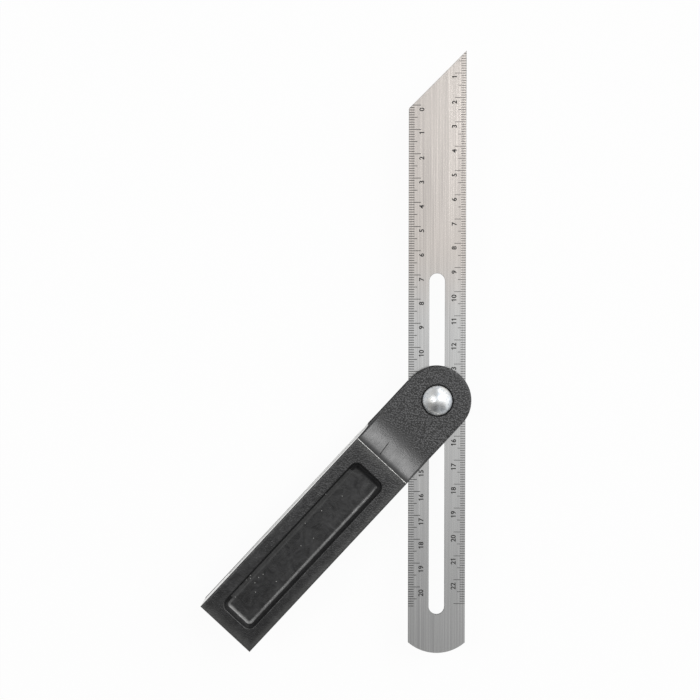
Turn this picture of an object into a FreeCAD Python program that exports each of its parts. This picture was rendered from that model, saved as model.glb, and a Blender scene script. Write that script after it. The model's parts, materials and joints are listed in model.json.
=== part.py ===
import FreeCAD, Part
import math
import os

# Adjustable square (sliding T-bevel), in millimetres, lying on its back as it is used on a bench.
# The origin is on the pivot's axis at the middle of the blade's thickness.
# +Y runs along the blade towards its pointed tip, and +Z is the way the bolt's domed head faces.

Vec = FreeCAD.Vector

# Blade
blade_length = 250.0
blade_width = 23.7
blade_thickness = 1.2
tip_angle = 45.0
tail_radius = 18.0
slot_width = 6.5
tip_to_slot = 91.6
slot_to_tail = 16.2
tip_to_pivot = 144.0

# Stock: a fork of two castings on a spacer, as wide as its round ears
rest_angle = 42.8
ear_radius = 14.0
ears_thickness = 13.0
body_thickness = 20.0
pivot_to_foot = 128.8
pivot_to_ramp = 17.6
ramp_length = 15.8
crease_step = 0.3
crease_round = 0.2
edge_round = 1.0
foot_block_length = 16.0

# The long sides of the body are machined bare after painting
milling_depth = 0.2
milling_runout = 2.8
pivot_to_milling = 27.0

# Finger recess in the front and back faces
recess_width = 16.4
recess_depth = 2.2
recess_corner_radius = 3.3
recess_wall_round = 3.2
recess_rim_round = 0.4
crease_to_recess = 6.9
front_recess_to_foot = 6.3
rear_recess_to_block = 4.5

# Pivot bolt with a low domed head and a square neck
bolt_diameter = 6.0
bolt_head_diameter = 12.4
bolt_head_height = 3.3
bolt_head_rim = 0.4
bolt_neck_width = 6.0
bolt_neck_length = 4.1
bolt_end_past_nut = 2.3
bolt_end_chamfer = 0.6
spot_face_margin = 0.5
spot_face_depth = 0.4

# Clearances
neck_clearance = 0.1
bolt_hole_clearance = 0.2
running_gap = 0.05
thread_clearance = 0.05
screw_hole_clearance = 0.2

# Washers
friction_washer_diameter = 14.0
friction_washer_thickness = 0.5
flat_washer_diameter = 12.0
flat_washer_thickness = 1.6
spring_washer_diameter = 11.8
spring_washer_thickness = 1.6
spring_washer_split = 1.2
spring_washer_split_lean = 25.0

# Wing nut
nut_base_diameter = 12.0
nut_top_diameter = 9.5
nut_hub_height = 6.5
wing_span = 28.0
wing_height = 12.5
wing_thickness = 3.0
wing_notch = 0.25
wing_foot_height = 1.0
wing_root_sink = 0.5
wing_edge_round = 1.1
wings_to_stock_angle = 90.0

# Fasteners at the foot
screw_diameter = 4.0
screw_head_diameter = 7.5
screw_bite = 5.0
screw_tip_chamfer = 0.4
screw_hole_end_room = 0.3
drive_slot_length = 3.8
drive_slot_width = 0.9
drive_slot_depth = 1.6
dowel_diameter = 3.0
dowel_length = 10.0
dowel_end_room = 0.2
dowel_end_chamfer = 0.3
fastener_inset_from_side = 5.5
fastener_inset_from_foot = 5.0

# Places worked out from the sizes above
throat = blade_thickness + 2 * (friction_washer_thickness + 2 * running_gap)
inner_face = throat / 2
ear_face = ears_thickness / 2
body_face = body_thickness / 2
body_half_width = ear_radius - milling_depth
pivot_to_crease = pivot_to_ramp + ramp_length
pivot_to_block = pivot_to_foot - foot_block_length
head_seat = ear_face - spot_face_depth
washer_seat = -ear_face
nut_seat = washer_seat - flat_washer_thickness - spring_washer_thickness
bolt_end = nut_seat - nut_hub_height - bolt_end_past_nut
overcut = 1.0

# Two screws sit near the block's inner end and one near the foot; the dowels take the other corners
screw_inset = ear_radius - fastener_inset_from_side
inner_row = pivot_to_block + fastener_inset_from_foot
outer_row = pivot_to_foot - fastener_inset_from_foot
screw_places = [(inner_row, screw_inset), (inner_row, -screw_inset), (outer_row, 0.0)]
dowel_places = [(outer_row, screw_inset), (outer_row, -screw_inset)]


def face_of(edges):
    """Return the flat face inside a closed run of edges."""
    return Part.Face(Part.Wire(edges))


def line(start, end):
    """Return a straight edge."""
    return Part.makeLine(start, end)


def arc(start, middle, end):
    """Return an arc edge through three points."""
    return Part.Arc(start, middle, end).toShape()


def cylinder(radius, low, high, x=0.0, y=0.0):
    """Return an upright cylinder between two heights."""
    return Part.makeCylinder(radius, high - low, Vec(x, y, low))


def ring(outer_diameter, bore_diameter, low, high):
    """Return a flat washer on the pivot's axis."""
    return cylinder(outer_diameter / 2, low, high).cut(
        cylinder(bore_diameter / 2, low - overcut, high + overcut))


def block(low, high):
    """Return a box between two corners."""
    size = high - low
    return Part.makeBox(size.x, size.y, size.z, low)


def capsule_face(start_y, end_y, radius, z):
    """Return a slot-shaped face along Y between the centres of its round ends."""
    return face_of([
        line(Vec(radius, start_y, z), Vec(radius, end_y, z)),
        arc(Vec(radius, end_y, z), Vec(0, end_y + radius, z), Vec(-radius, end_y, z)),
        line(Vec(-radius, end_y, z), Vec(-radius, start_y, z)),
        arc(Vec(-radius, start_y, z), Vec(0, start_y - radius, z), Vec(radius, start_y, z)),
    ])


def rounded_rectangle(x_low, x_high, half_width, radius, z):
    """Return a closed wire along X with rounded corners, starting on its long side."""
    lean = radius * (1 - math.sqrt(0.5))
    edges = []
    for sign, x_from, x_to in ((1, x_low, x_high), (-1, x_high, x_low)):
        turn = math.copysign(1, x_to - x_from)
        y = -sign * half_width
        corner = Vec(x_to, y, z)
        edges.append(line(Vec(x_from + turn * radius, y, z), Vec(x_to - turn * radius, y, z)))
        edges.append(arc(corner + Vec(-turn * radius, 0, 0),
                         corner + Vec(-turn * lean, sign * lean, 0),
                         corner + Vec(0, sign * radius, 0)))
        edges.append(line(corner + Vec(0, sign * radius, 0), Vec(x_to, -y - sign * radius, z)))
        corner = Vec(x_to, -y, z)
        edges.append(arc(corner + Vec(0, -sign * radius, 0),
                         corner + Vec(-turn * lean, -sign * lean, 0),
                         corner + Vec(-turn * radius, 0, 0)))
    return Part.Wire(edges)


def in_place(shape):
    """Turn a piece of the stock from along X to the angle that it has to the blade at rest."""
    turned = shape.copy()
    turned.rotate(Vec(0, 0, 0), Vec(0, 0, 1), 270.0 - rest_angle)
    return turned


def edges_where(shape, test):
    """Return the edges whose middle point passes a test."""
    chosen = []
    for edge in shape.Edges:
        middle = edge.valueAt((edge.FirstParameter + edge.LastParameter) / 2)
        if test(edge, middle):
            chosen.append(edge)
    return chosen


def is_upright(edge):
    """Say whether an edge runs straight along Z."""
    box = edge.BoundBox
    return max(box.XLength, box.YLength) < 1e-6


def ear_and_ramp():
    """Return the round ear with the hollow ramp that climbs to the body."""
    outline = face_of([
        line(Vec(pivot_to_crease, -ear_radius, inner_face), Vec(pivot_to_crease, ear_radius, inner_face)),
        line(Vec(pivot_to_crease, ear_radius, inner_face), Vec(0, ear_radius, inner_face)),
        arc(Vec(0, ear_radius, inner_face), Vec(-ear_radius, 0, inner_face), Vec(0, -ear_radius, inner_face)),
        line(Vec(0, -ear_radius, inner_face), Vec(pivot_to_crease, -ear_radius, inner_face)),
    ])
    blank = outline.extrude(Vec(0, 0, body_face - inner_face))
    rise = body_face - crease_step - ear_face
    ramp_radius = (ramp_length ** 2 + rise ** 2) / (2 * rise)
    half_turn = math.asin(ramp_length / ramp_radius) / 2
    ramp_middle = Vec(pivot_to_ramp + ramp_radius * math.sin(half_turn), 0,
                      ear_face + ramp_radius * (1 - math.cos(half_turn)))
    ramp_foot = Vec(pivot_to_ramp, 0, ear_face)
    ramp_top = Vec(pivot_to_crease, 0, body_face - crease_step)
    above_top = Vec(pivot_to_crease, 0, body_face + overcut)
    past_ear = Vec(-ear_radius - overcut, 0, ear_face)
    above_ear = Vec(past_ear.x, 0, above_top.z)
    hollow = face_of([
        line(past_ear, ramp_foot),
        arc(ramp_foot, ramp_middle, ramp_top),
        line(ramp_top, above_top),
        line(above_top, above_ear),
        line(above_ear, past_ear),
    ])
    hollow.translate(Vec(0, -ear_radius - overcut, 0))
    shape = blank.cut(hollow.extrude(Vec(0, 2 * (ear_radius + overcut), 0)))

    def on_outer_rim(edge, middle):
        outside = abs(abs(middle.y) - ear_radius) < 1e-3 or middle.x < 0
        return outside and middle.z > inner_face + 1e-3 and not is_upright(edge)

    return shape.makeFillet(edge_round, edges_where(shape, on_outer_rim))


def grip_body():
    """Return the thick part of one casting, from the crease to the foot."""
    shape = block(Vec(pivot_to_crease, -ear_radius, inner_face), Vec(pivot_to_foot, ear_radius, body_face))

    def on_long_or_foot_edge(edge, middle):
        return middle.z > body_face - 1e-3 and middle.x > pivot_to_crease + 1e-3

    def on_crease(edge, middle):
        return middle.z > body_face - 1e-3 and middle.x < pivot_to_crease + 1e-3

    shape = shape.makeFillet(edge_round, edges_where(shape, on_long_or_foot_edge))
    return shape.makeFillet(crease_round, edges_where(shape, on_crease))


def finger_recess(x_low, x_high):
    """Return the tool shape of the recess, whose walls are one round from the rim to the floor."""
    floor = body_face - recess_depth
    past_rim = recess_wall_round - math.sqrt(recess_wall_round ** 2 - (recess_wall_round - recess_depth) ** 2)
    outline = rounded_rectangle(x_low - past_rim, x_high + past_rim, recess_width / 2 + past_rim,
                                recess_corner_radius + past_rim, floor)
    tool = Part.Face(outline).extrude(Vec(0, 0, recess_wall_round + overcut))

    def on_floor(edge, middle):
        return middle.z < floor + 1e-3

    return tool.makeFillet(recess_wall_round, edges_where(tool, on_floor))


def machined_sides():
    """Return the two slabs that the cutter takes off the body's long sides."""
    slabs = []
    past_foot = pivot_to_foot + overcut
    outside = ear_radius + overcut
    for sign in (1, -1):
        corners = [
            Vec(pivot_to_milling, sign * ear_radius, 0),
            Vec(pivot_to_milling + milling_runout, sign * body_half_width, 0),
            Vec(past_foot, sign * body_half_width, 0),
            Vec(past_foot, sign * outside, 0),
            Vec(pivot_to_milling, sign * outside, 0),
        ]
        edges = [line(corners[i], corners[(i + 1) % len(corners)]) for i in range(len(corners))]
        slabs.append(face_of(edges).extrude(Vec(0, 0, body_face + overcut)))
    return slabs[0].fuse(slabs[1])


def casting(recess_end):
    """Return one half of the fork, facing +Z, with its recess and machined sides."""
    shape = ear_and_ramp().fuse(grip_body())
    shape = shape.cut(finger_recess(pivot_to_crease + crease_to_recess, recess_end))

    def on_recess_rim(edge, middle):
        inside = abs(middle.y) < recess_width / 2 + 1e-3
        past_crease = middle.x > pivot_to_crease + crease_to_recess - 1e-3
        return inside and past_crease and middle.x < recess_end + 1e-3 and middle.z > body_face - 1e-3

    shape = shape.makeFillet(recess_rim_round, edges_where(shape, on_recess_rim))
    return shape.cut(machined_sides()).removeSplitter()


def dowel_holes():
    """Return the blind holes for the dowels, through the throat into both halves."""
    depth = dowel_length / 2 + dowel_end_room
    return [cylinder(dowel_diameter / 2, -depth, depth, x, y) for x, y in dowel_places]


def screw_shanks(radius, low, high):
    """Return one cylinder for each foot screw."""
    return [cylinder(radius, low, high, x, y) for x, y in screw_places]


def make_stock_front_half():
    """Return the front casting, with the square hole that holds the bolt's neck."""
    shape = casting(pivot_to_foot - front_recess_to_foot)
    spot_face = cylinder(bolt_head_diameter / 2 + spot_face_margin, head_seat, ear_face + overcut)
    half_hole = bolt_neck_width / 2 + neck_clearance
    neck_hole = block(Vec(-half_hole, -half_hole, 0), Vec(half_hole, half_hole, ear_face))
    tapped = screw_shanks(screw_diameter / 2 + thread_clearance, 0, inner_face + screw_bite + screw_hole_end_room)
    return in_place(shape.cut([spot_face, neck_hole] + tapped + dowel_holes()))


def make_stock_rear_half():
    """Return the back casting, with the round bolt hole and the countersinks."""
    shape = casting(pivot_to_block - rear_recess_to_block).mirror(Vec(0, 0, 0), Vec(0, 0, 1))
    bolt_hole = cylinder(bolt_diameter / 2 + bolt_hole_clearance, -body_face, 0)
    clear_holes = screw_shanks(screw_diameter / 2 + screw_hole_clearance, -body_face, 0)
    sinks = [screw_head(x, y, screw_hole_clearance) for x, y in screw_places]
    return in_place(shape.cut([bolt_hole] + clear_holes + sinks + dowel_holes()))


def make_foot_spacer():
    """Return the plate that sets the throat's width, flush with the machined sides."""
    shape = block(Vec(pivot_to_block, -body_half_width, -inner_face),
                  Vec(pivot_to_foot, body_half_width, inner_face))
    clear_holes = screw_shanks(screw_diameter / 2 + screw_hole_clearance, -inner_face, inner_face)
    return in_place(shape.cut(clear_holes + dowel_holes()))


def screw_head(x, y, clearance):
    """Return a right-angled countersunk head, flush with the back face."""
    wide = screw_head_diameter / 2 + clearance
    narrow = screw_diameter / 2 + clearance
    return Part.makeCone(wide, narrow, wide - narrow, Vec(x, y, -body_face))


def make_foot_screw(x, y):
    """Return one countersunk screw with a cross recess."""
    tip = inner_face + screw_bite
    radius = screw_diameter / 2
    shank = cylinder(radius, -body_face, tip - screw_tip_chamfer, x, y)
    point = Part.makeCone(radius, radius - screw_tip_chamfer, screw_tip_chamfer,
                          Vec(x, y, tip - screw_tip_chamfer))
    shape = shank.fuse([point, screw_head(x, y, 0.0)])
    long_half = drive_slot_length / 2
    short_half = drive_slot_width / 2
    slots = []
    for half_x, half_y in ((long_half, short_half), (short_half, long_half)):
        slots.append(block(Vec(x - half_x, y - half_y, -body_face - overcut),
                           Vec(x + half_x, y + half_y, -body_face + drive_slot_depth)))
    return in_place(shape.cut(slots).removeSplitter())


def make_foot_dowel(x, y):
    """Return one dowel pin with chamfered ends."""
    shape = cylinder(dowel_diameter / 2, -dowel_length / 2, dowel_length / 2, x, y)

    def on_end(edge, middle):
        return abs(middle.z) > dowel_length / 2 - 1e-3

    return in_place(shape.makeChamfer(dowel_end_chamfer, edges_where(shape, on_end)))


def make_blade():
    """Return the slotted blade, with its angled tip up and its round tail down."""
    half = blade_width / 2
    bottom = -blade_thickness / 2
    tip_y = tip_to_pivot
    shoulder_y = tip_y - blade_width * math.tan(math.radians(tip_angle))
    tail_y = tip_y - blade_length
    tail_side_y = tail_y + tail_radius - math.sqrt(tail_radius ** 2 - half ** 2)
    outline = face_of([
        line(Vec(half, tip_y, bottom), Vec(-half, shoulder_y, bottom)),
        line(Vec(-half, shoulder_y, bottom), Vec(-half, tail_side_y, bottom)),
        arc(Vec(-half, tail_side_y, bottom), Vec(0, tail_y, bottom), Vec(half, tail_side_y, bottom)),
        line(Vec(half, tail_side_y, bottom), Vec(half, tip_y, bottom)),
    ])
    slot_top = tip_y - tip_to_slot - slot_width / 2
    slot_bottom = tail_y + slot_to_tail + slot_width / 2
    slot = capsule_face(slot_bottom, slot_top, slot_width / 2, bottom)
    return outline.cut(slot).extrude(Vec(0, 0, blade_thickness))


def make_friction_washer(side):
    """Return the thin washer between the blade and one ear; side is 1 for front and -1 for back."""
    near = blade_thickness / 2 + running_gap
    far = near + friction_washer_thickness
    low, high = sorted((side * near, side * far))
    return ring(friction_washer_diameter, bolt_diameter + 2 * running_gap, low, high)


def make_pivot_bolt():
    """Return the bolt: domed head in front, square neck in the ear, threaded end behind."""
    head_radius = bolt_head_diameter / 2
    rim_top = head_seat + bolt_head_rim
    cap_height = bolt_head_height - bolt_head_rim
    dome_radius = (head_radius ** 2 + cap_height ** 2) / (2 * cap_height)
    half_turn = math.asin(head_radius / dome_radius) / 2
    dome_centre = head_seat + bolt_head_height - dome_radius
    profile = face_of([
        line(Vec(0, 0, head_seat), Vec(head_radius, 0, head_seat)),
        line(Vec(head_radius, 0, head_seat), Vec(head_radius, 0, rim_top)),
        arc(Vec(head_radius, 0, rim_top),
            Vec(dome_radius * math.sin(half_turn), 0, dome_centre + dome_radius * math.cos(half_turn)),
            Vec(0, 0, head_seat + bolt_head_height)),
        line(Vec(0, 0, head_seat + bolt_head_height), Vec(0, 0, head_seat)),
    ])
    head = profile.revolve(Vec(0, 0, 0), Vec(0, 0, 1), 360.0)
    half_neck = bolt_neck_width / 2
    neck = in_place(block(Vec(-half_neck, -half_neck, head_seat - bolt_neck_length),
                          Vec(half_neck, half_neck, head_seat)))
    radius = bolt_diameter / 2
    shank = cylinder(radius, bolt_end + bolt_end_chamfer, head_seat)
    point = Part.makeCone(radius - bolt_end_chamfer, radius, bolt_end_chamfer, Vec(0, 0, bolt_end))
    return head.fuse([neck, shank, point]).removeSplitter()


def make_flat_washer():
    """Return the washer against the back ear."""
    return ring(flat_washer_diameter, bolt_diameter + 2 * bolt_hole_clearance,
                washer_seat - flat_washer_thickness, washer_seat)


def make_spring_washer():
    """Return the split washer under the nut, pressed flat as it is when the nut is tight."""
    high = washer_seat - flat_washer_thickness
    low = high - spring_washer_thickness
    shape = ring(spring_washer_diameter, bolt_diameter + 2 * bolt_hole_clearance, low, high)
    middle = Vec(0, 0, (low + high) / 2)
    split = block(Vec(0, -spring_washer_split / 2, low - overcut),
                  Vec(spring_washer_diameter, spring_washer_split / 2, high + overcut))
    split.rotate(middle, Vec(1, 0, 0), spring_washer_split_lean)
    return shape.cut(split)


def tangent_point(point, centre, radius, side):
    """Return where a line from a point touches a circle in the XZ plane, on the given side."""
    away = point - centre
    distance = away.Length
    turn = side * math.acos(radius / distance)
    start = math.atan2(away.z, away.x)
    return centre + Vec(math.cos(start + turn), 0, math.sin(start + turn)) * radius


def make_wing():
    """Return one wing of the nut, standing up from a hub on Z = 0, out along X."""
    base_radius = nut_base_diameter / 2
    top_radius = nut_top_diameter / 2
    inside = bolt_diameter / 2 + wing_root_sink
    lobe_radius = (wing_span / 2 - top_radius - wing_notch) / 2
    centre = Vec(wing_span / 2 - lobe_radius, 0, wing_height - lobe_radius)
    low_root = Vec(base_radius - wing_root_sink, 0, wing_foot_height)
    high_root = Vec(top_radius - wing_root_sink, 0, nut_hub_height)
    low_touch = tangent_point(low_root, centre, lobe_radius, 1)
    high_touch = tangent_point(high_root, centre, lobe_radius, -1)
    outward = (low_touch + high_touch) / 2 - centre
    outward.normalize()
    lobe_end = centre - outward * lobe_radius
    low_inside = Vec(inside, 0, low_root.z)
    high_inside = Vec(inside, 0, high_root.z)
    face = face_of([
        line(low_inside, low_root),
        line(low_root, low_touch),
        arc(low_touch, lobe_end, high_touch),
        line(high_touch, high_root),
        line(high_root, high_inside),
        line(high_inside, low_inside),
    ])
    face.translate(Vec(0, -wing_thickness / 2, 0))
    plate = face.extrude(Vec(0, wing_thickness, 0))

    def on_free_rim(edge, middle):
        past_hub = middle.x > low_root.x + 1e-3 or middle.z > high_root.z + 1e-3
        return past_hub and edge.BoundBox.YLength < 1e-6

    return plate.makeFillet(wing_edge_round, edges_where(plate, on_free_rim))


def make_wing_nut():
    """Return the wing nut on its seat behind the washers, with its wings across the stock."""
    hub = Part.makeCone(nut_base_diameter / 2, nut_top_diameter / 2, nut_hub_height)
    wing = make_wing()
    other_wing = wing.copy()
    other_wing.rotate(Vec(0, 0, 0), Vec(0, 0, 1), 180.0)
    bore = cylinder(bolt_diameter / 2 + thread_clearance, -overcut, nut_hub_height + overcut)
    shape = hub.fuse([wing, other_wing]).cut(bore).removeSplitter()
    shape.rotate(Vec(0, 0, 0), Vec(1, 0, 0), 180.0)
    shape.rotate(Vec(0, 0, 0), Vec(0, 0, 1), wings_to_stock_angle)
    shape.translate(Vec(0, 0, nut_seat))
    return in_place(shape)


def make_all():
    """Return every piece by its name."""
    pieces = {
        "stock_front_half": make_stock_front_half(),
        "stock_rear_half": make_stock_rear_half(),
        "foot_spacer": make_foot_spacer(),
        "blade": make_blade(),
        "front_friction_washer": make_friction_washer(1),
        "rear_friction_washer": make_friction_washer(-1),
        "pivot_bolt": make_pivot_bolt(),
        "flat_washer": make_flat_washer(),
        "spring_washer": make_spring_washer(),
        "wing_nut": make_wing_nut(),
    }
    for number, (x, y) in enumerate(screw_places, start=1):
        pieces[f"foot_screw_{number}"] = make_foot_screw(x, y)
    for number, (x, y) in enumerate(dowel_places, start=1):
        pieces[f"foot_dowel_{number}"] = make_foot_dowel(x, y)
    return pieces


os.makedirs("parts", exist_ok=True)
for name, shape in make_all().items():
    print(name, len(shape.Solids), shape.isValid(), round(shape.Volume, 2))
    shape.exportStep(f"parts/{name}.step")
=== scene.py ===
"""Looks of an adjustable square (sliding bevel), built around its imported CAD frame.

Sizes in the classes are millimetres, as on a drawing. Meshes are metres in the frame's own axes:
+Y runs along the blade to its tip, +Z out of the front face, and the origin is on the pivot's axis.
"""

import json
import logging
import math
from abc import ABC, abstractmethod
from dataclasses import dataclass
from enum import Enum
from functools import partial
from typing import Callable, Iterable, Sequence

import bmesh
import bpy
from mathutils import Matrix, Vector


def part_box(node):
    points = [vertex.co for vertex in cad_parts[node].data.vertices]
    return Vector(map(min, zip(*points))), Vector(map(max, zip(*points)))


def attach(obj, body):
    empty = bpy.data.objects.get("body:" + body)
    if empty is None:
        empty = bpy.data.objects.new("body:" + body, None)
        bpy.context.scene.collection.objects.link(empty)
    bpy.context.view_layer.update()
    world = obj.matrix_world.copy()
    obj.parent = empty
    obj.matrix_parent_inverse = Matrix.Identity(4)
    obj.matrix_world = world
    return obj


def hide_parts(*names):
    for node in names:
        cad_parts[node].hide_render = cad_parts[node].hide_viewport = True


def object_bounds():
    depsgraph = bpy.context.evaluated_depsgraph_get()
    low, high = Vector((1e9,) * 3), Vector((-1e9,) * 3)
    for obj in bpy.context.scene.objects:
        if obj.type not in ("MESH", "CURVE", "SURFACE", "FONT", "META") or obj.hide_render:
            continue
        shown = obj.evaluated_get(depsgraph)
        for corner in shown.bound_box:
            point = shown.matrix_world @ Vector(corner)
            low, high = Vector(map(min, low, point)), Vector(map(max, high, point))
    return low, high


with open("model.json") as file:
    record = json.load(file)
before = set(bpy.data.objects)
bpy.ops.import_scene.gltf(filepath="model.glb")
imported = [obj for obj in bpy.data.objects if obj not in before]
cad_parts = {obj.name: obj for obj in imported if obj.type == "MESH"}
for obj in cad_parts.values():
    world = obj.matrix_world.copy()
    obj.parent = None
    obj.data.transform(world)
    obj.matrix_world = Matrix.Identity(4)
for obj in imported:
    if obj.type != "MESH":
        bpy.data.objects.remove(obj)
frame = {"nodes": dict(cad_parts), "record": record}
CAD_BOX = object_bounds()

MM = 0.001
FULL_TURN = 2 * math.pi
LOG = logging.getLogger("adjustable_square")

PIVOT_TO_CREASE = 33.4

MATH = "ShaderNodeMath"
VECTOR_MATH = "ShaderNodeVectorMath"
COMBINE_XYZ = "ShaderNodeCombineXYZ"
MAP_RANGE = "ShaderNodeMapRange"
MIX = "ShaderNodeMix"
NOISE = "ShaderNodeTexNoise"
VORONOI = "ShaderNodeTexVoronoi"
BUMP = "ShaderNodeBump"

Outline = list[tuple[float, float]]
Value = bpy.types.Node | bpy.types.NodeSocket | float | Sequence[float]
AddNode = Callable[..., bpy.types.Node]


class Body(Enum):
    """The frame's moving bodies."""

    STOCK = "stock"
    FRICTION_WASHERS = "friction_washers"
    BLADE = "blade"
    NUT_WASHERS = "nut_washers"
    WING_NUT = "wing_nut"


class Slot(Enum):
    """The record's material slots."""

    PAINTED_CASTING = "painted_casting"
    BARE_ALUMINIUM = "bare_aluminium"
    ZINC_PLATE = "zinc_plated_steel"
    GROUND_STEEL = "ground_steel"
    BLADE_STEEL = "blade_steel"
    NYLON = "nylon"


class ScaleSide(Enum):
    """The blade's long edge that a scale is read from, as the sign of its X."""

    LEFT = -1
    RIGHT = 1


def stock_axes() -> tuple[Vector, Vector]:
    """Find how the stock lies from the record's mount on its side face.

    Returns:
        The unit ways along the stock to its foot and across it.
    """
    mounts = {mount["name"]: mount for mount in frame["record"]["mounts"]}
    across = Vector(mounts["stock_edge_right"]["axis"]).normalized()
    return Vector((across.y, -across.x, 0.0)), across


ALONG, ACROSS = stock_axes()
STOCK_TO_FRAME = Matrix((ALONG, ACROSS, (0, 0, 1))).transposed().to_4x4()


# Node and mesh tools


def linear(colour: str) -> tuple[float, float, float, float]:
    """Turn an sRGB colour to linear values.

    Args:
        colour: The colour in hex, such as #a0a0a0.

    Returns:
        Red, green, blue and a full alpha.
    """
    parts = [int(colour[i:i + 2], 16) / 255 for i in (1, 3, 5)]
    low, high = ([part / 12.92 for part in parts], [((part + 0.055) / 1.055) ** 2.4 for part in parts])
    red, green, blue = (b if part > 0.04045 else a for part, a, b in zip(parts, low, high))
    return red, green, blue, 1.0


def per_metre(cell: float) -> float:
    """Turn the size of a pattern's cell in millimetres to a scale for coordinates in metres."""
    return 1.0 / (cell * MM)


def in_metres(sizes: Iterable[float]) -> list[float]:
    """Turn sizes in millimetres to metres."""
    return [size * MM for size in sizes]


def feed(node: bpy.types.Node, inputs: dict[str | int, Value]) -> None:
    """Set or link a node's inputs.

    Args:
        node: The node.
        inputs: Values by the input's name or number. A node stands for its first output in use.
    """
    for key, value in inputs.items():
        if isinstance(value, bpy.types.Node):
            value = next(socket for socket in value.outputs if socket.enabled)
        if isinstance(value, bpy.types.NodeSocket):
            node.id_data.links.new(value, node.inputs[key])
        else:
            node.inputs[key].default_value = value


def add_node(tree: bpy.types.NodeTree, kind: str, *values: Value, named: dict[str | int, Value] | None = None,
             **settings: object) -> bpy.types.Node:
    """Add a node with its settings and inputs.

    Args:
        tree: The tree that gets the node.
        kind: The node's type name.
        values: What goes into the inputs that the settings leave in use, in their order.
        named: What goes into other inputs, by name or number.
        settings: The node's own properties.

    Returns:
        The new node.
    """
    node = tree.nodes.new(kind)
    for name, value in settings.items():
        setattr(node, name, value)
    in_use = [number for number, socket in enumerate(node.inputs) if socket.enabled]
    feed(node, dict(zip(in_use, values)) | (named or {}))
    return node


def new_geometry_tree(name: str, inputs: dict[str, str], output: str) -> bpy.types.NodeTree:
    """Make an empty Geometry Nodes tree.

    Args:
        name: The tree's name.
        inputs: The kind of each input, by its name.
        output: The name of the geometry that comes out.

    Returns:
        The tree, with its sockets and no nodes.
    """
    tree = bpy.data.node_groups.new(name, "GeometryNodeTree")
    for socket, kind in inputs.items():
        tree.interface.new_socket(name=socket, in_out="INPUT", socket_type=f"NodeSocket{kind}")
    tree.interface.new_socket(name=output, in_out="OUTPUT", socket_type="NodeSocketGeometry")
    return tree


def end_tree(add: AddNode, points: Value, instance: Value, finish: Value, **placing: Value) -> None:
    """End a Geometry Nodes tree with instances on points, made real and given their finish.

    Args:
        add: Adds a node to the tree.
        points: Where the instances go.
        instance: What is set on each point.
        finish: The instances' material.
        placing: The instances' Rotation or Scale.
    """
    instances = add("GeometryNodeInstanceOnPoints", named={"Points": points, "Instance": instance, **placing})
    real = add("GeometryNodeRealizeInstances", instances)
    add("NodeGroupOutput", add("GeometryNodeSetMaterial", named={"Geometry": real, "Material": finish}))


def new_piece(name: str, mesh: bpy.types.ID) -> bpy.types.Object:
    """Link a new object that shows a mesh or curve."""
    piece = bpy.data.objects.new(name, mesh)
    bpy.context.scene.collection.objects.link(piece)
    return piece


def settle(piece: bpy.types.Object) -> bpy.types.Object:
    """Turn what a piece's modifiers or text give into its plain mesh.

    Args:
        piece: An object with live modifiers, or a text object.

    Returns:
        The object that holds the plain mesh.
    """
    graph = bpy.context.evaluated_depsgraph_get()
    mesh = bpy.data.meshes.new_from_object(
        piece.evaluated_get(graph), preserve_all_data_layers=True, depsgraph=graph)
    mesh.name = piece.name
    if piece.type != "MESH":
        name = piece.name
        bpy.data.objects.remove(piece)
        return new_piece(name, mesh)
    piece.modifiers.clear()
    piece.data = mesh
    return piece


def smooth_shade(mesh: bpy.types.Mesh, sharp_from: float = 35.0) -> None:
    """Shade a mesh smooth, with edges sharp from an angle in degrees."""
    mesh.polygons.foreach_set("use_smooth", [True] * len(mesh.polygons))
    mesh.set_sharp_from_angle(angle=math.radians(sharp_from))


def merged_copy(node: str) -> bpy.types.Mesh:
    """Copy a CAD node's mesh with its loose triangles joined.

    Args:
        node: The CAD node's name.

    Returns:
        The copy, without materials.
    """
    mesh = frame["nodes"][node].data.copy()
    mesh.name = node
    mesh.materials.clear()
    shape = bmesh.new()
    shape.from_mesh(mesh)
    bmesh.ops.remove_doubles(shape, verts=shape.verts, dist=0.0005 * MM)
    shape.to_mesh(mesh)
    shape.free()
    if "custom_normal" in mesh.attributes:
        mesh.attributes.remove(mesh.attributes["custom_normal"])
    return mesh


def written(shape: bmesh.types.BMesh, name: str, sharp_from: float = 35.0) -> bpy.types.Mesh:
    """Write a shape to a new mesh with its faces outwards, and shade it.

    Args:
        shape: The shape, which is freed.
        name: The new mesh's name.
        sharp_from: The angle in degrees from which an edge is sharp.

    Returns:
        The new mesh.
    """
    bmesh.ops.recalc_face_normals(shape, faces=shape.faces)
    mesh = bpy.data.meshes.new(name)
    shape.to_mesh(mesh)
    shape.free()
    smooth_shade(mesh, sharp_from)
    return mesh


def skin(shape: bmesh.types.BMesh, rings: Sequence[Sequence[bmesh.types.BMVert]]) -> None:
    """Join each ring of corners to the next by faces, all the way round.

    Args:
        shape: The shape that the corners belong to.
        rings: The rings in order; a corner that a ring repeats makes triangles.
    """
    count = len(rings[0])
    for one, other in zip(rings, rings[1:]):
        for k in range(count):
            corners = [one[k], one[(k + 1) % count], other[(k + 1) % count], other[k]]
            shape.faces.new(list(dict.fromkeys(corners)))


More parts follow.
